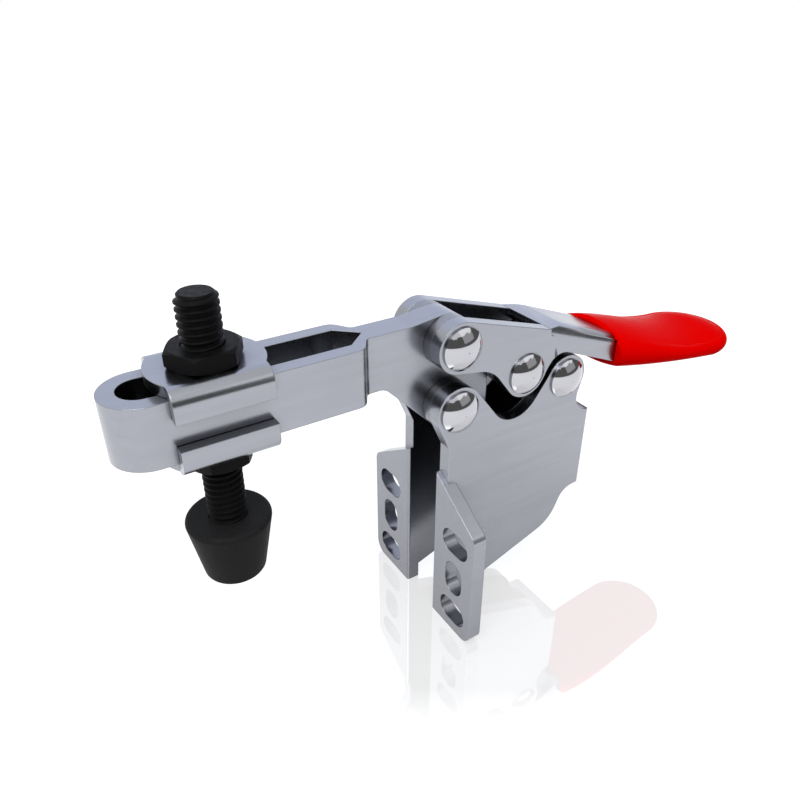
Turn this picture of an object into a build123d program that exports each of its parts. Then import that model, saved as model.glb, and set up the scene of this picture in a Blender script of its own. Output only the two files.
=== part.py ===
from build123d import *
import math
import os

os.makedirs("parts", exist_ok=True)

# Sizes are in millimetres. X runs from the mounting flange (x = 0) back to the handle, the arm
# reaches towards -X, and the clamp is symmetric about y = 0. Heights are counted from the middle
# of the slot pattern. "Half" sizes are distances from the middle plane.

# Stock
sheet = 3.4
strip = 3.25
fold_round = 0.7

# Fits
running_fit = 0.05
face_fit = 0.05
rivet_fit = 0.01

# Pivots, all parallel to Y
arm_pin_x = 3.7
arm_pin_z = 43.0
handle_pin_x = 3.6
handle_pin_z = 58.3
link_front_x = 22.4
link_front_z = 47.3
link_rear_x = 35.3
link_rear_z = 42.6
lobe = 5.9

# Rivets
shank_radius = 3.175
head_radius = 4.9
head_height = 2.4
head_rim = 0.5

# Base
channel_half = 5.7
front_edge = 1.2
front_edge_top = 34.0
valley_x = 19.8
valley_z = 43.3
valley_radius = 7.1
neck_radius = 4.8
neck_setback = 0.2
neck_z = 36.1
back_setback = 9.5
web_top = 31.2
web_bottom = 8.5
relief_radius = 5.05
relief_setback = 1.9
relief_z = 3.35
heel_x = 28.3
heel_z = 6.9
heel_radius = 9.8
underside_z = -12.9

# Mounting flanges
flange_half = 21.5
flange_bottom = -16.6
flange_top = 26.4
shoulder_z = 14.9
shoulder_radius = 2.5
foot_radius = 3.5
slot_spread = 28.6
slot_pitch = 21.35
slot_width = 6.5
corner_slot_length = 9.7
middle_slot_length = 9.6

# Arm
spindle_diameter = 7.94
slot_play = 0.18
nose_x = -59.5
shoulder_x = -20.3
shoulder_bend = 3.0
neck_x = -15.2
neck_bend = 1.5
slot_end_x = -19.9
slot_point_x = -15.3
arm_bottom = 50.5
arm_height = 12.65
throat_x = -10.2
throat_radius = 3.0
blade_back = 15.6
blade_back_round = 1.5
blade_back_bottom = 39.6
blade_back_top = 50.4
hump_round = 3.0
hump_x = -5.6

# Handle
channel_hollow_x = 7.5
channel_hollow_z = 42.9
channel_hollow_radius = 8.6
rear_hollow_x = 33.2
rear_hollow_z = 45.1
rear_hollow_radius = 4.7
shank_x = 51.0
shank_bottom = 42.9
shank_top = 48.5
tang_x = 64.0
tang_bottom = 41.7
tang_top = 45.2
crown_x = 29.3
crown_z = 56.6
web_front_x = 32.0
web_ramp = 4.0

# Grip
grip_front = 52.0
grip_wall_gap = 0.05
# Stations along the grip: distance from its front, half width, side top, side bottom
grip_stations = (
    (0.0, 11.8, 48.8, 41.4),
    (8.5, 13.2, 46.4, 40.2),
    (23.0, 13.5, 42.1, 38.1),
    (36.6, 12.9, 40.1, 35.7),
)
grip_crown = 2.4
grip_keel = 1.3
grip_side_round = 2.2
grip_mouth_bevel = 0.7

# Link
link_half = 2.38
link_lobe = 5.3

# Spindle, nuts and washers
spindle_x = -47.45
spindle_top = 78.6
spindle_bottom = 20.5
spindle_chamfer = 0.9
nut_flats = 12.7
nut_height = 3.4
nut_chamfer_drop = 0.6
washer_thickness = 2.3
washer_radius = 11.0
washer_fold_length = 18.3
washer_leg = 6.0
washer_leg_fit = 0.15
washer_seat_fit = 0.05
washer_bend = 3.2

# Bumper
bumper_top = 30.8
bumper_bottom = 16.7
bumper_top_radius = 8.95
bumper_bottom_radius = 6.3
bumper_rim_round = 1.0
bumper_toe_round = 1.2
bumper_grip_fit = 0.01

# Worked-out sizes
plate_half = channel_half + sheet
slot_half = spindle_diameter / 2 + slot_play
arm_half = slot_half + strip
blade_half = strip
arm_top = arm_bottom + arm_height
web_back = link_rear_x + back_setback
web_front = web_back - sheet
bore_radius = shank_radius + running_fit
beyond = 200.0


def outline(*corners):
    """Draw a closed outline that runs anticlockwise round corners given as (x, y, radius).

    The centre of each corner's arc is at x, y. A positive radius is a round outside corner, a
    negative one a hollow, and zero is a sharp point. Straight lines join the arcs at tangents.
    """
    leaving = []
    arriving = []
    for index, (x, y, radius) in enumerate(corners):
        next_x, next_y, next_radius = corners[(index + 1) % len(corners)]
        reach = math.hypot(next_x - x, next_y - y)
        bearing = math.atan2(next_y - y, next_x - x)
        bearing -= math.asin((next_radius - radius) / reach)
        side = Vector(-math.sin(bearing), math.cos(bearing))
        leaving.append((Vector(x, y) - side * radius, bearing))
        arriving.append(Vector(next_x, next_y) - side * next_radius)
    for index, (x, y, radius) in enumerate(corners):
        start, bearing = leaving[index]
        if radius:
            entry_bearing = leaving[index - 1][1]
            turn = (bearing - entry_bearing) % (2 * math.pi)
            if radius < 0:
                turn -= 2 * math.pi
            middle = entry_bearing + turn / 2
            crest = Vector(x, y) - Vector(-math.sin(middle), math.cos(middle)) * radius
            ThreePointArc(arriving[index - 1], crest, start)
        Line(start, arriving[index])


# Base: one stamping with two side plates, a rear web and two mounting flanges
with BuildPart() as base:
    with BuildSketch(Plane.XZ):
        with BuildLine():
            outline(
                (front_edge, underside_z, 0),
                (heel_x, heel_z, heel_radius),
                (web_back - relief_setback, relief_z, -relief_radius),
                (web_back, web_bottom, 0),
                (web_back, web_top, 0),
                (web_back - neck_setback, neck_z, -neck_radius),
                (link_rear_x, link_rear_z, lobe),
                (valley_x, valley_z, -valley_radius),
                (arm_pin_x, arm_pin_z, lobe),
                (front_edge, front_edge_top, 0),
            )
        make_face()
    extrude(amount=plate_half, both=True)
    fillet(base.edges().filter_by(Axis.Z).group_by(Axis.X)[-1], fold_round)
    with BuildSketch(Plane.XZ):
        with Locations((web_front, 0)):
            Rectangle(beyond, beyond, align=(Align.MAX, Align.CENTER))
    extrude(amount=channel_half, both=True, mode=Mode.SUBTRACT)
    with BuildSketch(Plane.YZ):
        with BuildLine():
            outline(
                (channel_half, flange_bottom, 0),
                (flange_half - foot_radius, flange_bottom + foot_radius, foot_radius),
                (flange_half - shoulder_radius, shoulder_z, shoulder_radius),
                (channel_half, flange_top, 0),
            )
        make_face()
        mirror(about=Plane.YZ)
    extrude(amount=sheet)
    folds = base.edges().filter_by(Axis.Z).filter_by_position(Axis.X, -fold_round, fold_round)
    fillet(folds.filter_by_position(Axis.Y, -channel_half - 0.1, channel_half + 0.1), fold_round)
    with BuildSketch(Plane.YZ):
        with GridLocations(slot_spread, slot_pitch, 2, 2):
            SlotOverall(corner_slot_length, slot_width)
        with GridLocations(slot_spread, slot_pitch, 2, 1):
            SlotOverall(middle_slot_length, slot_width, rotation=90)
    extrude(amount=sheet, mode=Mode.SUBTRACT)
    with BuildSketch(Plane.XZ):
        with Locations((arm_pin_x, arm_pin_z), (link_rear_x, link_rear_z)):
            Circle(shank_radius + rivet_fit)
    extrude(amount=plate_half, both=True, mode=Mode.SUBTRACT)
base.part.label = "base"
export_step(base.part, "parts/base.step")

# Arm: one strip folded round the nose, its two ends brought together as the blade
with BuildPart() as arm:
    with BuildSketch(Plane.XZ):
        with BuildLine():
            outline(
                (nose_x - arm_half, arm_bottom, 0),
                (throat_x - throat_radius, arm_bottom - throat_radius, -throat_radius),
                (arm_pin_x, arm_pin_z, lobe),
                (blade_back - blade_back_round, blade_back_bottom, blade_back_round),
                (blade_back, blade_back_top, 0),
                (handle_pin_x, handle_pin_z, lobe),
                (hump_x, arm_top + hump_round, -hump_round),
                (nose_x - arm_half, arm_top, 0),
            )
        make_face()
    extrude(amount=arm_half, both=True)
    with BuildSketch():
        with BuildLine():
            outline(
                (nose_x, 0, arm_half),
                (shoulder_x, shoulder_bend - arm_half, shoulder_bend),
                (neck_x, -blade_half - neck_bend, -neck_bend),
                (blade_back, -blade_half, 0),
                (blade_back, blade_half, 0),
                (neck_x, blade_half + neck_bend, -neck_bend),
                (shoulder_x, arm_half - shoulder_bend, shoulder_bend),
            )
        make_face()
        with BuildLine():
            outline(
                (nose_x, 0, slot_half),
                (slot_end_x, -slot_half, 0),
                (slot_point_x, 0, 0),
                (slot_end_x, slot_half, 0),
            )
        make_face(mode=Mode.SUBTRACT)
    extrude(amount=beyond, mode=Mode.INTERSECT)
    with BuildSketch(Plane.XZ):
        with Locations((arm_pin_x, arm_pin_z), (handle_pin_x, handle_pin_z)):
            Circle(bore_radius)
    extrude(amount=blade_half, both=True, mode=Mode.SUBTRACT)
arm.part.label = "arm"
export_step(arm.part, "parts/arm.step")

# Handle: one channel, open at the front over the arm, closed by its web behind
with BuildPart() as handle:
    with BuildSketch(Plane.XZ):
        with BuildLine():
            outline(
                (handle_pin_x, handle_pin_z, lobe),
                (channel_hollow_x, channel_hollow_z, -channel_hollow_radius),
                (link_front_x, link_front_z, lobe),
                (rear_hollow_x, rear_hollow_z, -rear_hollow_radius),
                (shank_x, shank_bottom, 0),
                (tang_x, tang_bottom, 0),
                (tang_x, tang_top, 0),
                (shank_x, shank_top, 0),
                (crown_x, crown_z, 0),
            )
        make_face()
    extrude(amount=plate_half, both=True)
    with BuildSketch(Plane.XZ):
        with BuildLine():
            web_slope = (crown_z - shank_top) / (shank_x - crown_x)
            Polyline(
                (tang_x, tang_bottom - sheet),
                (tang_x, tang_top - sheet),
                (shank_x, shank_top - sheet),
                (web_front_x, crown_z - (web_front_x - crown_x) * web_slope - sheet),
                (web_front_x - web_ramp, crown_z + sheet),
                (web_front_x - web_ramp, handle_pin_z + 2 * lobe),
                (handle_pin_x - 2 * lobe, handle_pin_z + 2 * lobe),
                (handle_pin_x - 2 * lobe, tang_bottom - sheet),
                close=True,
            )
        make_face()
    extrude(amount=channel_half, both=True, mode=Mode.SUBTRACT)
    with BuildSketch(Plane.XZ):
        with Locations((handle_pin_x, handle_pin_z), (link_front_x, link_front_z)):
            Circle(shank_radius + rivet_fit)
    extrude(amount=plate_half, both=True, mode=Mode.SUBTRACT)
handle.part.label = "handle"
export_step(handle.part, "parts/handle.step")

# Grip: moulded sleeve over the tang, crowned above and below. Its round end is half of the last
# section turned about the upright axis.
def grip_section(half, top):
    """Draw the grip's closed section, centred at half height, with rounded sides."""
    brow = half - grip_side_round
    ThreePointArc((-brow, -top), (0, -top - grip_keel), (brow, -top))
    ThreePointArc((brow, -top), (half, 0), (brow, top))
    ThreePointArc((brow, top), (0, top + grip_crown), (-brow, top))
    ThreePointArc((-brow, top), (-half, 0), (-brow, -top))


with BuildPart() as grip:
    for reach, half, side_top, side_bottom in grip_stations:
        waist = (side_top + side_bottom) / 2
        with BuildSketch(Plane((grip_front + reach, 0, waist), x_dir=(0, 1, 0), z_dir=(1, 0, 0))):
            with BuildLine():
                grip_section(half, side_top - waist)
            make_face()
    loft()
    with BuildSketch(Plane((grip_front + reach, 0, waist), x_dir=(0, 1, 0), z_dir=(1, 0, 0))):
        with BuildLine():
            grip_section(half, side_top - waist)
        make_face()
        Rectangle(beyond, beyond, align=(Align.MAX, Align.CENTER), mode=Mode.SUBTRACT)
    revolve(axis=Axis((grip_front + reach, 0, 0), (0, 0, 1)), revolution_arc=-180)
    reach, half, side_top, side_bottom = grip_stations[0]
    waist = (side_top + side_bottom) / 2
    for inset in (0, grip_mouth_bevel):
        mouth = Vector(grip_front - inset, 0, waist)
        with BuildSketch(Plane(mouth, x_dir=(0, 1, 0), z_dir=(1, 0, 0))):
            with BuildLine():
                grip_section(half - inset, side_top - waist - inset)
            make_face()
    loft(ruled=True)
    with BuildSketch(Plane.XZ):
        with BuildLine():
            Polyline(
                (shank_x, shank_bottom - grip_wall_gap),
                (tang_x + grip_wall_gap, tang_bottom - grip_wall_gap),
                (tang_x + grip_wall_gap, tang_top + grip_wall_gap),
                (shank_x, shank_top + grip_wall_gap),
                close=True,
            )
        make_face()
    extrude(amount=plate_half + grip_wall_gap, both=True, mode=Mode.SUBTRACT)
grip.part.label = "grip"
export_step(grip.part, "parts/grip.step")

# Link: one thick plate in the middle plane
with BuildPart() as link:
    with BuildSketch(Plane.XZ):
        with BuildLine():
            outline(
                (link_front_x, link_front_z, link_lobe),
                (link_rear_x, link_rear_z, link_lobe),
            )
        make_face()
        with Locations((link_front_x, link_front_z), (link_rear_x, link_rear_z)):
            Circle(bore_radius, mode=Mode.SUBTRACT)
    extrude(amount=link_half, both=True)
link.part.label = "link"
export_step(link.part, "parts/link.step")

# Rivets: domed heads outside the side plates. The shank starts at "inner" from the middle plane:
# the handle rivet is two stubs that stop at the blade, and the others run right through.
rivets = (
    ("arm_rivet", arm_pin_x, arm_pin_z, 0),
    ("handle_rivet", handle_pin_x, handle_pin_z, blade_half + face_fit),
    ("link_front_rivet", link_front_x, link_front_z, 0),
    ("link_rear_rivet", link_rear_x, link_rear_z, 0),
)
for name, x, z, inner in rivets:
    with BuildPart() as rivet:
        with BuildSketch(Plane.XY.offset(z)):
            with BuildLine():
                Polyline(
                    (x, plate_half + head_height),
                    (x, inner),
                    (x + shank_radius, inner),
                    (x + shank_radius, plate_half),
                    (x + head_radius, plate_half),
                )
                Line((x + head_radius, plate_half), (x + head_radius, plate_half + head_rim))
                TangentArc(
                    (x, plate_half + head_height),
                    (x + head_radius, plate_half + head_rim),
                    tangent=(1, 0),
                )
            make_face()
        revolve(axis=Axis((x, 0, z), (0, 1, 0)))
        mirror(about=Plane.XZ)
    rivet.part.label = name
    export_step(rivet.part, f"parts/{name}.step")

# Spacers: washers that fill the gap between the inner plate and the side plates at each pivot
spacers = (
    ("arm_spacer", arm_pin_x, arm_pin_z, blade_half, lobe),
    ("handle_spacer", handle_pin_x, handle_pin_z, blade_half, lobe),
    ("link_front_spacer", link_front_x, link_front_z, link_half, link_lobe),
    ("link_rear_spacer", link_rear_x, link_rear_z, link_half, link_lobe),
)
for name, x, z, inner_half, radius in spacers:
    for side, direction in (("left", 1), ("right", -1)):
        with BuildPart() as spacer:
            with BuildSketch(Plane.XZ.offset(direction * (inner_half + face_fit))):
                with Locations((x, z)):
                    Circle(radius)
                    Circle(shank_radius + rivet_fit, mode=Mode.SUBTRACT)
            extrude(amount=direction * (channel_half - inner_half - face_fit))
        spacer.part.label = f"{name}_{side}"
        export_step(spacer.part, f"parts/{name}_{side}.step")

# Spindle: threaded rod, modelled at the thread's outside diameter
with BuildPart() as spindle:
    with BuildSketch(Plane.XY.offset(spindle_bottom)):
        with Locations((spindle_x, 0)):
            Circle(spindle_diameter / 2)
    extrude(amount=spindle_top - spindle_bottom)
    chamfer(spindle.edges().filter_by(GeomType.CIRCLE), spindle_chamfer)
spindle.part.label = "spindle"
export_step(spindle.part, "parts/spindle.step")

# Bumper: rubber tip, widest at the top, with a socket for the spindle
with BuildPart() as bumper:
    with BuildSketch(Plane.XZ):
        with BuildLine():
            Polyline(
                (spindle_x, bumper_bottom),
                (spindle_x + bumper_bottom_radius, bumper_bottom),
                (spindle_x + bumper_top_radius, bumper_top),
                (spindle_x, bumper_top),
                close=True,
            )
        make_face()
    revolve(axis=Axis((spindle_x, 0, 0), (0, 0, 1)))
    fillet(bumper.edges().filter_by(GeomType.CIRCLE).sort_by(Axis.Z)[0], bumper_toe_round)
    fillet(bumper.edges().filter_by(GeomType.CIRCLE).sort_by(Axis.Z)[-1], bumper_rim_round)
    with BuildSketch(Plane.XY.offset(bumper_top)):
        with Locations((spindle_x, 0)):
            Circle(spindle_diameter / 2 + bumper_grip_fit)
    extrude(amount=spindle_bottom - bumper_top, mode=Mode.SUBTRACT)
bumper.part.label = "bumper"
export_step(bumper.part, "parts/bumper.step")

# Nuts: hexagons with two corners along the arm, chamfered on both faces
nut_corner = nut_flats / math.sqrt(3)
nut_seats = (
    ("upper_nut", arm_top + washer_seat_fit + washer_thickness),
    ("lower_nut", arm_bottom - washer_seat_fit - washer_thickness - nut_height),
)
for name, seat in nut_seats:
    with BuildPart() as nut:
        with BuildSketch(Plane.XY.offset(seat)):
            with Locations((spindle_x, 0)):
                RegularPolygon(nut_corner, 6)
        extrude(amount=nut_height)
        with BuildSketch(Plane.XZ):
            with BuildLine():
                Polyline(
                    (spindle_x, seat),
                    (spindle_x + nut_flats / 2, seat),
                    (spindle_x + nut_corner, seat + nut_chamfer_drop),
                    (spindle_x + nut_corner, seat + nut_height - nut_chamfer_drop),
                    (spindle_x + nut_flats / 2, seat + nut_height),
                    (spindle_x, seat + nut_height),
                    close=True,
                )
            make_face()
        revolve(axis=Axis((spindle_x, 0, 0), (0, 0, 1)), mode=Mode.INTERSECT)
        with BuildSketch(Plane.XY.offset(seat)):
            with Locations((spindle_x, 0)):
                Circle(spindle_diameter / 2 + running_fit)
        extrude(amount=nut_height, mode=Mode.SUBTRACT)
    nut.part.label = name
    export_step(nut.part, f"parts/{name}.step")

# Flanged washers: a disc with two ears folded over the outside of the arm
leg_inner = arm_half + washer_leg_fit
leg_outer = leg_inner + washer_thickness
washer_seat = arm_top + washer_seat_fit
crown = washer_seat + washer_thickness
arm_middle = Plane.XY.offset((arm_top + arm_bottom) / 2)
for name in ("upper_flanged_washer", "lower_flanged_washer"):
    with BuildPart() as washer:
        with BuildSketch(Plane.YZ.offset(spindle_x - washer_radius)):
            with BuildLine():
                outline(
                    (leg_inner, crown - washer_leg, 0),
                    (leg_outer, crown - washer_leg, 0),
                    (leg_outer - washer_bend, crown - washer_bend, washer_bend),
                    (washer_bend - leg_outer, crown - washer_bend, washer_bend),
                    (-leg_outer, crown - washer_leg, 0),
                    (-leg_inner, crown - washer_leg, 0),
                    (-leg_inner, washer_seat, 0),
                    (leg_inner, washer_seat, 0),
                )
            make_face()
        extrude(amount=2 * washer_radius)
        with BuildSketch(Plane.XY.offset(crown - washer_leg)):
            with Locations((spindle_x, 0)):
                Circle(washer_radius)
                Rectangle(washer_fold_length, 2 * leg_outer)
                Circle(spindle_diameter / 2 + running_fit, mode=Mode.SUBTRACT)
        extrude(amount=washer_leg, mode=Mode.INTERSECT)
        if name == "lower_flanged_washer":
            mirror(about=arm_middle, mode=Mode.REPLACE)
    washer.part.label = name
    export_step(washer.part, f"parts/{name}.step")
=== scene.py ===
"""Looks of the toggle clamp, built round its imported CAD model."""
import math

import bmesh
import bpy
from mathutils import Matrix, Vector


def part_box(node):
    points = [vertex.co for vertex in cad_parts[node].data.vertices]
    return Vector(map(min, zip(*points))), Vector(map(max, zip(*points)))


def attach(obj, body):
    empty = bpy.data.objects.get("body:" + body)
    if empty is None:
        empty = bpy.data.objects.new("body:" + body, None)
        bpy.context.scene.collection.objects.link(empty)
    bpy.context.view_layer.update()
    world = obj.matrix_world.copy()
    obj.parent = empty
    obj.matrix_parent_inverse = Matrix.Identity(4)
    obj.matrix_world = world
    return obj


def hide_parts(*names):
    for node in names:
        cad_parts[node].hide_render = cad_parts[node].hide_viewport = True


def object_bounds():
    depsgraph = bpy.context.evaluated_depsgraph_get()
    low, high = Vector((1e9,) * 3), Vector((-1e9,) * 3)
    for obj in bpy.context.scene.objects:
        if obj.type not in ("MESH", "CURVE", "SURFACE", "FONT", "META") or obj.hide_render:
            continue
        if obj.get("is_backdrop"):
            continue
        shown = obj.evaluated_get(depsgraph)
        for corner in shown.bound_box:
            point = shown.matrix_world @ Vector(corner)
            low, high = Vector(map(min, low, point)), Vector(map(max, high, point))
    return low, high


MM = 0.001

# Camera, solved from the level and upright edges: millimetres and degrees
CAMERA_PLACE = (-78.56, -115.02, 122.07)
CAMERA_PITCH = 60.33
CAMERA_HEADING = -32.2
CAMERA_LENS = 31.84
CAMERA_SENSOR = 36
CAMERA_CLIP = 5.0

# Spindle thread, 5/16-18 UNC, millimetres; the shares are of one pitch
PITCH = 25.4 / 18
CREST_RADIUS = 3.95
ROOT_RADIUS = 3.30
END_RADIUS = 3.05
CREST_SHARE = 0.18
ROOT_SHARE = 0.22
THREAD_STEPS = 48
THREAD_WELD = 0.0005

# Handle web, millimetres: the line of the plates' top edges falls from the crown to the shank,
# and the web stands above it, rounded over both plates, with a sloping front end
CROWN_X = 29.3
CROWN_Z = 56.6
WEB_FALL = 0.3733
WEB_RISE = 1.4
WEB_ROUND = 3.0
WEB_LIP_X = 28.7
WEB_RAMP_X = 34.0
WEB_END_X = 53.0
WEB_CUT_MARGIN = 1.0
ROUND_STEPS = 10
WELD = 0.001
SHARP_ANGLE = 30

# Colours, linear, and indices of refraction
ARM_STEEL = (0.33, 0.34, 0.375, 1)
PLATE_STEEL = (0.33, 0.34, 0.375, 1)
INNER_STEEL = (0.26, 0.265, 0.285, 1)
POLISHED = (0.47, 0.47, 0.50, 1)
BLACK_OXIDE = (0.0032, 0.0032, 0.0034, 1)
RUBBER = (0.015, 0.015, 0.0155, 1)
RED_VINYL = (0.82, 0.0, 0.0, 1)
METAL_IOR = 1.45
OXIDE_IOR = 1.16
RUBBER_IOR = 1.12
VINYL_IOR = 1.02
BLACK = (0, 0, 0, 1)
WHITE = (1, 1, 1, 1)
FILL_COLOUR = (0.94, 0.96, 1.0, 1)
SKY_CARD = (1.0, 1.06, 1.24, 1)
WALL_CARD = (0.14, 0.14, 0.135, 1)

# Grain: factors along X, Y and Z, scales of the noise per metre, its detail, and the part of
# its range that counts
ROLLED_GRAIN = (40, 600, 600)
TURNED_GRAIN = (300, 300, 300)
EVEN_GRAIN = (1, 1, 1)
CLOUD_SCALE = 90.0
RIVET_SCALE = 700.0
OXIDE_SCALE = 900.0
RUBBER_SCALE = 1400.0
PEEL_SCALE = 260.0
FINE_DETAIL = 4.0
SOFT_DETAIL = 2.0
NOISE_LOW = 0.3
NOISE_HIGH = 0.7
EDGE_SAMPLES = 6

# Painted shade in folds, slots, channels and near other parts and the floor: reach in millimetres,
# the openness that counts as free, and what is left of the colour where nothing is open
PAINTED_SHADE_REACH = 50.0
PAINTED_SHADE_FREE = 0.85
PAINTED_SHADE_DARK = 0.30
PAINTED_SHADE_SAMPLES = 8

# Lamps, metres and watts, and the level of the world's own light on the clamp
LAMP_AIM = (0, 0, 0.03)
KEY_PLACE = (-0.35, -0.30, 0.75)
KEY_SIZE = 0.6
KEY_POWER = 4.0
SIDE_PLACE = (0.35, -0.45, 0.35)
SIDE_SIZE = 0.5
SIDE_POWER = 0.3
FILL_LEVEL = 0.55

# Cards that only reflections see, metres and degrees: a pale sky, and a dark wall in panes
SKY_PLACE = (0.9, 1.35, 1.05)
SKY_HALF_WIDTH = 1.6
SKY_HALF_HEIGHT = 1.3
WALL_REACH = 1.2
WALL_HEIGHTS = (0.60, 0.60, 0.72, 0.66, 0.78, 0.74, 0.80, 0.62, 0.68, 0.60)
WALL_START = -165
WALL_END = 8

# Floor: its size in metres, colour, glow for the camera, and mirror image
FLOOR_REACH = 6.0
FLOOR_COLOUR = (0.40, 0.40, 0.40, 1)
FLOOR_LIFT = 0.60
FLOOR_MIRROR = 0.33
FLOOR_ROUGHNESS = 0.02

# The mirror image fades between two distances along a heading (degrees, millimetres), and
# between two distances from the origin
FADE_HEADING = 57.8
FADE_START = -30.0
FADE_END = -52.0
MIRROR_NEAR = 70.0
MIRROR_FAR = 110.0

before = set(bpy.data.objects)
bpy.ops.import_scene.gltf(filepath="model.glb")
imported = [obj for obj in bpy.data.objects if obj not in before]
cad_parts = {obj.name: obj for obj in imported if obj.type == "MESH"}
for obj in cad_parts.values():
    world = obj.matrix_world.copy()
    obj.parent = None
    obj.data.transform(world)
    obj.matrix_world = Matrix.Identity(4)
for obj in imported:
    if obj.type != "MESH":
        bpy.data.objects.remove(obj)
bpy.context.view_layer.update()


def new_material(name, colour, metallic, roughness, ior):
    """A principled material, returned with its node tree and shader."""
    material = bpy.data.materials.new(name)
    material.use_nodes = True
    tree = material.node_tree
    shader = tree.nodes["Principled BSDF"]
    shader.inputs["Base Color"].default_value = colour
    shader.inputs["Metallic"].default_value = metallic
    shader.inputs["Roughness"].default_value = roughness
    shader.inputs["IOR"].default_value = ior
    return material, tree, shader


def grain(tree, stretch, scale, detail=FINE_DETAIL):
    """Noise over the part's own coordinates, stretched along each axis by the given factors."""
    place = tree.nodes.new("ShaderNodeTexCoord")
    mapping = tree.nodes.new("ShaderNodeMapping")
    mapping.inputs["Scale"].default_value = stretch
    noise = tree.nodes.new("ShaderNodeTexNoise")
    noise.inputs["Scale"].default_value = scale
    noise.inputs["Detail"].default_value = detail
    tree.links.new(place.outputs["Object"], mapping.inputs["Vector"])
    tree.links.new(mapping.outputs["Vector"], noise.inputs["Vector"])
    return noise.outputs["Fac"]


def map_range(tree, value, start, end, low, high):
    """Map a value that runs from start to end onto low to high, held at both ends."""
    node = tree.nodes.new("ShaderNodeMapRange")
    node.inputs["From Min"].default_value = start
    node.inputs["From Max"].default_value = end
    node.inputs["To Min"].default_value = low
    node.inputs["To Max"].default_value = high
    tree.links.new(value, node.inputs["Value"])
    return node.outputs["Result"]


def math_node(tree, operation, first, second):
    """A Math node over two sockets or numbers."""
    node = tree.nodes.new("ShaderNodeMath")
    node.operation = operation
    for socket, value in zip(node.inputs, (first, second)):
        if isinstance(value, bpy.types.NodeSocket):
            tree.links.new(value, socket)
        else:
            socket.default_value = value
    return node.outputs[0]


def spread(tree, value, low, high):
    """Map a noise value onto a range."""
    return map_range(tree, value, NOISE_LOW, NOISE_HIGH, low, high)


def tint(tree, value, dark, light):
    """Blend two colours by a noise value."""
    ramp = tree.nodes.new("ShaderNodeValToRGB")
    ramp.color_ramp.elements[0].position = NOISE_LOW
    ramp.color_ramp.elements[1].position = NOISE_HIGH
    ramp.color_ramp.elements[0].color = dark
    ramp.color_ramp.elements[1].color = light
    tree.links.new(value, ramp.inputs["Fac"])
    return ramp.outputs["Color"]


def relief(tree, shader, value, height_mm, edge_mm=0.0):
    """Bump from a noise value, over edges that the shading rounds by edge_mm."""
    bump = tree.nodes.new("ShaderNodeBump")
    bump.inputs["Distance"].default_value = height_mm * MM
    tree.links.new(value, bump.inputs["Height"])
    if edge_mm:
        bevel = tree.nodes.new("ShaderNodeBevel")
        bevel.samples = EDGE_SAMPLES
        bevel.inputs["Radius"].default_value = edge_mm * MM
        tree.links.new(bevel.outputs["Normal"], bump.inputs["Normal"])
    tree.links.new(bump.outputs["Normal"], shader.inputs["Normal"])


def painted_recess_shade(tree, shader, colour):
    """Paint shade into a colour where the surface lies deep in a fold, slot or channel, or near
    other parts and the floor.
    """
    depth = tree.nodes.new("ShaderNodeAmbientOcclusion")
    depth.samples = PAINTED_SHADE_SAMPLES
    depth.inputs["Distance"].default_value = PAINTED_SHADE_REACH * MM
    shade = map_range(tree, depth.outputs["AO"], 0.0, PAINTED_SHADE_FREE, PAINTED_SHADE_DARK, 1.0)
    blend = tree.nodes.new("ShaderNodeMix")
    blend.data_type = "RGBA"
    blend.inputs["A"].default_value = BLACK
    tree.links.new(shade, blend.inputs["Factor"])
    tree.links.new(colour, blend.inputs["B"])
    tree.links.new(blend.outputs["Result"], shader.inputs["Base Color"])


def scaled(colour, factor):
    """A colour made lighter or darker."""
    return tuple(min(1.0, channel * factor) for channel in colour)


def roughen(tree, shader, value, low, high):
    """Let the roughness follow a noise value."""
    tree.links.new(spread(tree, value, low, high), shader.inputs["Roughness"])


def steel_material(name, colour):
    """Zinc-plated sheet: satin, with a faint rolling grain along X."""
    material, tree, shader = new_material(name, colour, 1.0, 0.24, METAL_IOR)
    rolled = grain(tree, ROLLED_GRAIN, 1.0)
    cloudy = grain(tree, EVEN_GRAIN, CLOUD_SCALE, SOFT_DETAIL)
    roughen(tree, shader, cloudy, 0.20, 0.28)
    # painted shade: the colour darkens in folds, slots, channels and near other parts and the floor
    painted_recess_shade(tree, shader, tint(tree, rolled, scaled(colour, 0.97), scaled(colour, 1.03)))
    relief(tree, shader, rolled, 0.002, 0.3)
    return material


def rivet_material():
    """Polished rivet heads."""
    material, tree, shader = new_material("polished_rivet", POLISHED, 1.0, 0.06, METAL_IOR)
    fine = grain(tree, EVEN_GRAIN, RIVET_SCALE)
    roughen(tree, shader, fine, 0.05, 0.09)
    relief(tree, shader, fine, 0.0006)
    return material


def oxide_material():
    """Black oxide on the screw and nuts."""
    material, tree, shader = new_material("black_steel", BLACK_OXIDE, 0.0, 0.45, OXIDE_IOR)
    fine = grain(tree, EVEN_GRAIN, OXIDE_SCALE)
    roughen(tree, shader, fine, 0.38, 0.55)
    colour = tint(tree, fine, BLACK_OXIDE, scaled(BLACK_OXIDE, 1.5))
    tree.links.new(colour, shader.inputs["Base Color"])
    relief(tree, shader, fine, 0.006, 0.3)
    return material


def rubber_material():
    """Moulded rubber, finely matt."""
    material, tree, shader = new_material("black_rubber", RUBBER, 0.0, 0.5, RUBBER_IOR)
    fine = grain(tree, EVEN_GRAIN, RUBBER_SCALE)
    roughen(tree, shader, fine, 0.42, 0.6)
    colour = tint(tree, fine, RUBBER, scaled(RUBBER, 1.4))
    tree.links.new(colour, shader.inputs["Base Color"])
    relief(tree, shader, fine, 0.008)
    return material


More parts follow.
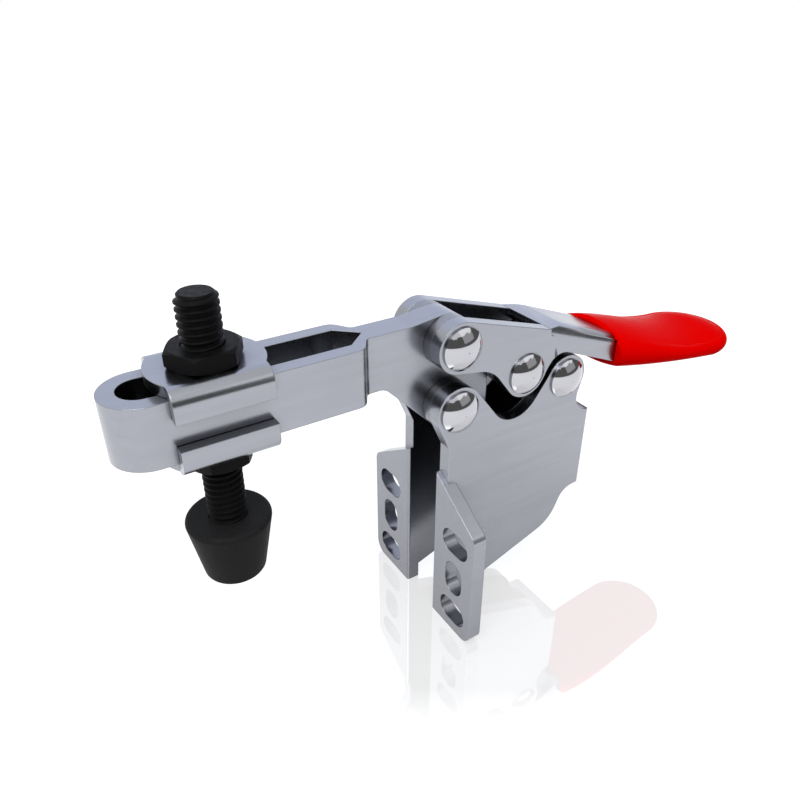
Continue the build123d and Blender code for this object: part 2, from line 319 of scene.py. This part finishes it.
def vinyl_material():
    """Red vinyl with a faint orange peel."""
    material, tree, shader = new_material("red_vinyl", RED_VINYL, 0.0, 0.22, VINYL_IOR)
    peel = grain(tree, EVEN_GRAIN, PEEL_SCALE, SOFT_DETAIL)
    roughen(tree, shader, peel, 0.18, 0.28)
    relief(tree, shader, peel, 0.012, 0.3)
    return material


def spacer_material():
    """Darker steel of the spacers and the link between the plates."""
    material, tree, shader = new_material("inner_steel", INNER_STEEL, 1.0, 0.3, METAL_IOR)
    turned = grain(tree, TURNED_GRAIN, 1.0)
    roughen(tree, shader, turned, 0.25, 0.36)
    # painted shade: the colour darkens between the plates, near other parts and near the floor
    painted_recess_shade(tree, shader, tint(tree, turned, INNER_STEEL, scaled(INNER_STEEL, 1.08)))
    relief(tree, shader, turned, 0.003, 0.2)
    return material


def wear(piece, material):
    """Give one object a material in place of those it has."""
    piece.data.materials.clear()
    piece.data.materials.append(material)


def dress(nodes, material):
    """Give CAD nodes a material."""
    for name in nodes:
        wear(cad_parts[name], material)


def thread_radius(phase):
    """Thread profile over one pitch: root, flank, crest, flank."""
    flank = (1 - CREST_SHARE - ROOT_SHARE) / 2
    if phase < ROOT_SHARE:
        return ROOT_RADIUS
    if phase < ROOT_SHARE + flank:
        return ROOT_RADIUS + (CREST_RADIUS - ROOT_RADIUS) * (phase - ROOT_SHARE) / flank
    if phase < ROOT_SHARE + flank + CREST_SHARE:
        return CREST_RADIUS
    return CREST_RADIUS - (CREST_RADIUS - ROOT_RADIUS) * (phase - 1 + flank) / flank


def threaded_spindle():
    """The spindle with its helical thread: rings of points that climb one pitch a turn."""
    low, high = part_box("spindle")
    centre_x = (low[0] + high[0]) / 2
    flank = (1 - CREST_SHARE - ROOT_SHARE) / 2
    breaks = (0, ROOT_SHARE, ROOT_SHARE + flank, ROOT_SHARE + flank + CREST_SHARE)
    turns = math.ceil((high[2] - low[2]) / (PITCH * MM)) + 1
    vertices = []
    faces = []
    per_column = (turns + 1) * len(breaks)
    for step in range(THREAD_STEPS + 1):
        angle = 2 * math.pi * step / THREAD_STEPS
        for row in range(-1, turns):
            for phase in breaks:
                height = low[2] + (row + phase + step / THREAD_STEPS) * PITCH * MM
                height = min(max(height, low[2]), high[2])
                inset = min(height - low[2], high[2] - height) / MM
                radius = min(thread_radius(phase), END_RADIUS + inset)
                x = centre_x + radius * MM * math.cos(angle)
                vertices.append((x, radius * MM * math.sin(angle), height))
    for step in range(THREAD_STEPS):
        for index in range(per_column - 1):
            a = step * per_column + index
            b = a + per_column
            faces.append((a, b, b + 1, a + 1))
    for height in (low[2], high[2]):
        ring = [i for i, vertex in enumerate(vertices) if vertex[2] == height]
        middle = len(vertices)
        vertices.append((centre_x, 0, height))
        rim = sorted(set(ring), key=lambda i: math.atan2(vertices[i][1], vertices[i][0] - centre_x))
        faces.extend((middle, rim[i - 1], rim[i]) for i in range(len(rim)))
    mesh = bpy.data.meshes.new("threaded_spindle")
    mesh.from_pydata(vertices, [], faces)
    mesh.validate()
    piece = bpy.data.objects.new("threaded_spindle", mesh)
    bpy.context.scene.collection.objects.link(piece)
    work = bmesh.new()
    work.from_mesh(mesh)
    bmesh.ops.remove_doubles(work, verts=work.verts, dist=THREAD_WELD * MM)
    bmesh.ops.dissolve_degenerate(work, edges=work.edges, dist=THREAD_WELD * MM)
    bmesh.ops.recalc_face_normals(work, faces=work.faces)
    work.to_mesh(mesh)
    work.free()
    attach(piece, "spindle")
    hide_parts("spindle")
    return piece


def new_piece(name, vertices, faces):
    """A closed mesh piece with its faces turned outward."""
    mesh = bpy.data.meshes.new(name)
    mesh.from_pydata(vertices, [], faces)
    work = bmesh.new()
    work.from_mesh(mesh)
    bmesh.ops.recalc_face_normals(work, faces=work.faces)
    work.to_mesh(mesh)
    work.free()
    piece = bpy.data.objects.new(name, mesh)
    bpy.context.scene.collection.objects.link(piece)
    return piece


def combine(piece, tool, operation):
    """Apply an exact boolean with a tool piece, and remove the tool."""
    step = piece.modifiers.new("combine", "BOOLEAN")
    step.object = tool
    step.operation = operation
    step.solver = "EXACT"
    graph = bpy.context.evaluated_depsgraph_get()
    mesh = bpy.data.meshes.new_from_object(piece.evaluated_get(graph))
    piece.modifiers.clear()
    piece.data = mesh
    bpy.data.objects.remove(tool)


def web_prism(name, profile):
    """A solid along the handle's web from points (y, height above the plates' top line).

    The points run round the section, first those at or below the line, then those above it.
    """
    vertices = []
    for x_lip, x_top in ((WEB_LIP_X, WEB_RAMP_X), (WEB_END_X, WEB_END_X)):
        for y, height in profile:
            x = x_lip + (x_top - x_lip) * max(height, 0) / WEB_RISE
            z = CROWN_Z - WEB_FALL * (x - CROWN_X) + height
            vertices.append((x * MM, y * MM, z * MM))
    count = len(profile)
    below = [i for i, (y, height) in enumerate(profile) if height <= 0]
    above = [i for i, (y, height) in enumerate(profile) if height >= 0]
    faces = [face for face in (below, above) if len(face) > 2]
    faces.append([count + i for i in range(count)])
    faces += [(i, (i + 1) % count, count + (i + 1) % count, count + i) for i in range(count)]
    return new_piece(name, vertices, faces)


def welded_copy(node, name):
    """A copy of a node's mesh, its split corners joined so that it is closed."""
    work = bmesh.new()
    work.from_mesh(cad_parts[node].data)
    bmesh.ops.remove_doubles(work, verts=work.verts, dist=WELD * MM)
    bmesh.ops.recalc_face_normals(work, faces=work.faces)
    mesh = bpy.data.meshes.new(name)
    work.to_mesh(mesh)
    work.free()
    piece = bpy.data.objects.new(name, mesh)
    piece.matrix_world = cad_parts[node].matrix_world
    bpy.context.scene.collection.objects.link(piece)
    return piece


def handle_piece():
    """The handle with its web raised and rounded over the plates, its front end a ramp."""
    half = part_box("handle")[1][1] / MM
    bend = []
    for step in range(ROUND_STEPS + 1):
        angle = math.pi / 2 * step / ROUND_STEPS
        y = half - WEB_ROUND + WEB_ROUND * math.cos(angle)
        bend.append((y, WEB_RISE - WEB_ROUND + WEB_ROUND * math.sin(angle)))
    low = WEB_RISE - WEB_ROUND
    level_y = half - WEB_ROUND + math.sqrt(WEB_ROUND ** 2 - low ** 2)
    below = [point for point in bend if point[1] < 0] + [(level_y, 0.0)]
    above = [point for point in bend if point[1] > 0]
    piece = welded_copy("handle", "raised_handle")
    for side in (1, -1):
        edge = side * (half + WEB_CUT_MARGIN)
        outer = [(edge, low), (edge, 0.0), (edge, WEB_RISE), (side * level_y, WEB_RISE)]
        inner = [(side * y, height) for y, height in below]
        corner = web_prism("corner", inner + outer[::-1])
        combine(piece, corner, "DIFFERENCE")
    right = below + above
    section = right + [(-y, height) for y, height in right[::-1]]
    combine(piece, web_prism("web", section), "UNION")
    for polygon in piece.data.polygons:
        polygon.use_smooth = True
    piece.data.set_sharp_from_angle(angle=math.radians(SHARP_ANGLE))
    level = piece.modifiers.new("level", "WEIGHTED_NORMAL")
    level.keep_sharp = True
    level.weight = 100
    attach(piece, "handle")
    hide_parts("handle")
    return piece


def looking_rays(tree):
    """1 for camera, glossy and transmission rays, 0 for the rays that light the object."""
    rays = tree.nodes.new("ShaderNodeLightPath").outputs
    seen = math_node(tree, "MAXIMUM", rays["Is Camera Ray"], rays["Is Glossy Ray"])
    return math_node(tree, "MAXIMUM", seen, rays["Is Transmission Ray"])


def studio():
    """White surroundings for the camera and reflections, dimmer light for the surfaces."""
    world = bpy.data.worlds.new("studio")
    bpy.context.scene.world = world
    world.use_nodes = True
    tree = world.node_tree
    tree.nodes.clear()
    output = tree.nodes.new("ShaderNodeOutputWorld")
    seen = tree.nodes.new("ShaderNodeBackground")
    seen.inputs["Color"].default_value = WHITE
    fill = tree.nodes.new("ShaderNodeBackground")
    fill.inputs["Color"].default_value = FILL_COLOUR
    fill.inputs["Strength"].default_value = FILL_LEVEL
    blend = tree.nodes.new("ShaderNodeMixShader")
    tree.links.new(looking_rays(tree), blend.inputs["Fac"])
    tree.links.new(fill.outputs[0], blend.inputs[1])
    tree.links.new(seen.outputs[0], blend.inputs[2])
    tree.links.new(blend.outputs[0], output.inputs["Surface"])


def lamp(name, place, size, power):
    """A square soft lamp at a place in metres that looks at the clamp."""
    light = bpy.data.lights.new(name, "AREA")
    light.size = size
    light.energy = power
    lamp_object = bpy.data.objects.new(name, light)
    lamp_object.location = place
    towards = Vector(LAMP_AIM) - Vector(place)
    lamp_object.rotation_euler = towards.to_track_quat("-Z", "Y").to_euler()
    bpy.context.scene.collection.objects.link(lamp_object)


def bare_material(name):
    """A material with no nodes yet, returned with its node tree."""
    material = bpy.data.materials.new(name)
    material.use_nodes = True
    tree = material.node_tree
    tree.nodes.clear()
    return material, tree


def rectangle(half_x, half_y, level):
    """The corners of a level rectangle about the Z axis."""
    signs = ((-1, -1), (1, -1), (1, 1), (-1, 1))
    return [(sign_x * half_x, sign_y * half_y, level) for sign_x, sign_y in signs]


def card(name, corners, faces, colour):
    """A studio card that only reflections see, staged and evenly bright."""
    mesh = bpy.data.meshes.new(name)
    mesh.from_pydata(corners, [], faces)
    sheet = bpy.data.objects.new(name, mesh)
    bpy.context.scene.collection.objects.link(sheet)
    material, tree = bare_material(name)
    glow = tree.nodes.new("ShaderNodeEmission")
    glow.inputs["Color"].default_value = colour
    output = tree.nodes.new("ShaderNodeOutputMaterial")
    tree.links.new(glow.outputs[0], output.inputs["Surface"])
    mesh.materials.append(material)
    sheet.visible_camera = False
    sheet.visible_diffuse = False
    sheet.visible_shadow = False
    sheet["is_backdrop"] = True
    return sheet


def sky_card():
    """A pale blue ceiling card behind the clamp, which the level faces reflect."""
    sheet = card("sky_card", rectangle(SKY_HALF_WIDTH, SKY_HALF_HEIGHT, 0), [(0, 1, 2, 3)], SKY_CARD)
    place = Vector(SKY_PLACE)
    sheet.location = place
    sheet.rotation_euler = place.to_track_quat("-Z", "Y").to_euler()


def wall_card():
    """A dark wall round the front of the studio, with an uneven top, which the domes reflect."""
    corners = []
    panes = len(WALL_HEIGHTS)
    for index, height in enumerate(WALL_HEIGHTS):
        for edge in (index, index + 1):
            angle = math.radians(WALL_START + (WALL_END - WALL_START) * edge / panes)
            x, y = WALL_REACH * math.cos(angle), WALL_REACH * math.sin(angle)
            corners += [(x, y, 0), (x, y, height)]
    faces = [(4 * i, 4 * i + 2, 4 * i + 3, 4 * i + 1) for i in range(panes)]
    card("wall_card", corners, faces, WALL_CARD)


def floor():
    """White floor with a faint mirror image; it keeps the shadows."""
    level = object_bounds()[0][2]
    mesh = bpy.data.meshes.new("floor")
    mesh.from_pydata(rectangle(FLOOR_REACH, FLOOR_REACH, level), [], [(0, 1, 2, 3)])
    ground = bpy.data.objects.new("floor", mesh)
    bpy.context.scene.collection.objects.link(ground)
    material, tree = bare_material("floor")
    matt = tree.nodes.new("ShaderNodeBsdfDiffuse")
    matt.inputs["Color"].default_value = FLOOR_COLOUR
    gloss = tree.nodes.new("ShaderNodeBsdfGlossy")
    gloss.inputs["Roughness"].default_value = FLOOR_ROUGHNESS
    glow = tree.nodes.new("ShaderNodeEmission")
    glow.inputs["Color"].default_value = WHITE
    place = tree.nodes.new("ShaderNodeTexCoord")
    forward = tree.nodes.new("ShaderNodeVectorMath")
    forward.operation = "DOT_PRODUCT"
    heading = math.radians(FADE_HEADING)
    forward.inputs[1].default_value = (math.cos(heading), math.sin(heading), 0)
    tree.links.new(place.outputs["Object"], forward.inputs[0])
    ahead = forward.outputs["Value"]
    polish = map_range(tree, ahead, FADE_END * MM, FADE_START * MM, 0.0, FLOOR_MIRROR)
    distance = tree.nodes.new("ShaderNodeVectorMath")
    distance.operation = "LENGTH"
    tree.links.new(place.outputs["Object"], distance.inputs[0])
    length = distance.outputs["Value"]
    around = map_range(tree, length, MIRROR_NEAR * MM, MIRROR_FAR * MM, 1.0, 0.0)
    amount = math_node(tree, "MULTIPLY", polish, around)
    rest = math_node(tree, "SUBTRACT", FLOOR_LIFT + FLOOR_MIRROR, amount)
    lift = math_node(tree, "MULTIPLY", looking_rays(tree), rest)
    tree.links.new(lift, glow.inputs["Strength"])
    mirror = tree.nodes.new("ShaderNodeMixShader")
    tree.links.new(amount, mirror.inputs["Fac"])
    total = tree.nodes.new("ShaderNodeAddShader")
    output = tree.nodes.new("ShaderNodeOutputMaterial")
    tree.links.new(matt.outputs[0], mirror.inputs[1])
    tree.links.new(gloss.outputs[0], mirror.inputs[2])
    tree.links.new(mirror.outputs[0], total.inputs[0])
    tree.links.new(glow.outputs[0], total.inputs[1])
    tree.links.new(total.outputs[0], output.inputs["Surface"])
    mesh.materials.append(material)
    ground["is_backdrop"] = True


def camera():
    """The camera at the photograph's place and angle."""
    data = bpy.data.cameras.new("camera")
    data.lens = CAMERA_LENS
    data.sensor_width = CAMERA_SENSOR
    data.clip_start = CAMERA_CLIP * MM
    viewer = bpy.data.objects.new("camera", data)
    viewer.location = [value * MM for value in CAMERA_PLACE]
    viewer.rotation_euler = (math.radians(CAMERA_PITCH), 0, math.radians(CAMERA_HEADING))
    bpy.context.scene.collection.objects.link(viewer)
    bpy.context.scene.camera = viewer


bpy.context.scene.view_settings.view_transform = "Standard"
camera()
studio()
floor()
lamp("key_lamp", KEY_PLACE, KEY_SIZE, KEY_POWER)
lamp("fill_lamp", SIDE_PLACE, SIDE_SIZE, SIDE_POWER)
sky_card()
wall_card()

arm_metal = steel_material("arm_steel", ARM_STEEL)
plate_metal = steel_material("plate_steel", PLATE_STEEL)
inner_metal = spacer_material()
dress(("arm", "upper_flanged_washer", "lower_flanged_washer"), arm_metal)
dress(("base", "handle"), plate_metal)
dress([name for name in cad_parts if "spacer" in name] + ["link"], inner_metal)
dress([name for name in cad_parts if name.endswith("_rivet")], rivet_material())
oxide = oxide_material()
dress(("upper_nut", "lower_nut", "spindle"), oxide)
wear(threaded_spindle(), oxide)
dress(("bumper",), rubber_material())
wear(handle_piece(), plate_metal)
dress(("grip",), vinyl_material())
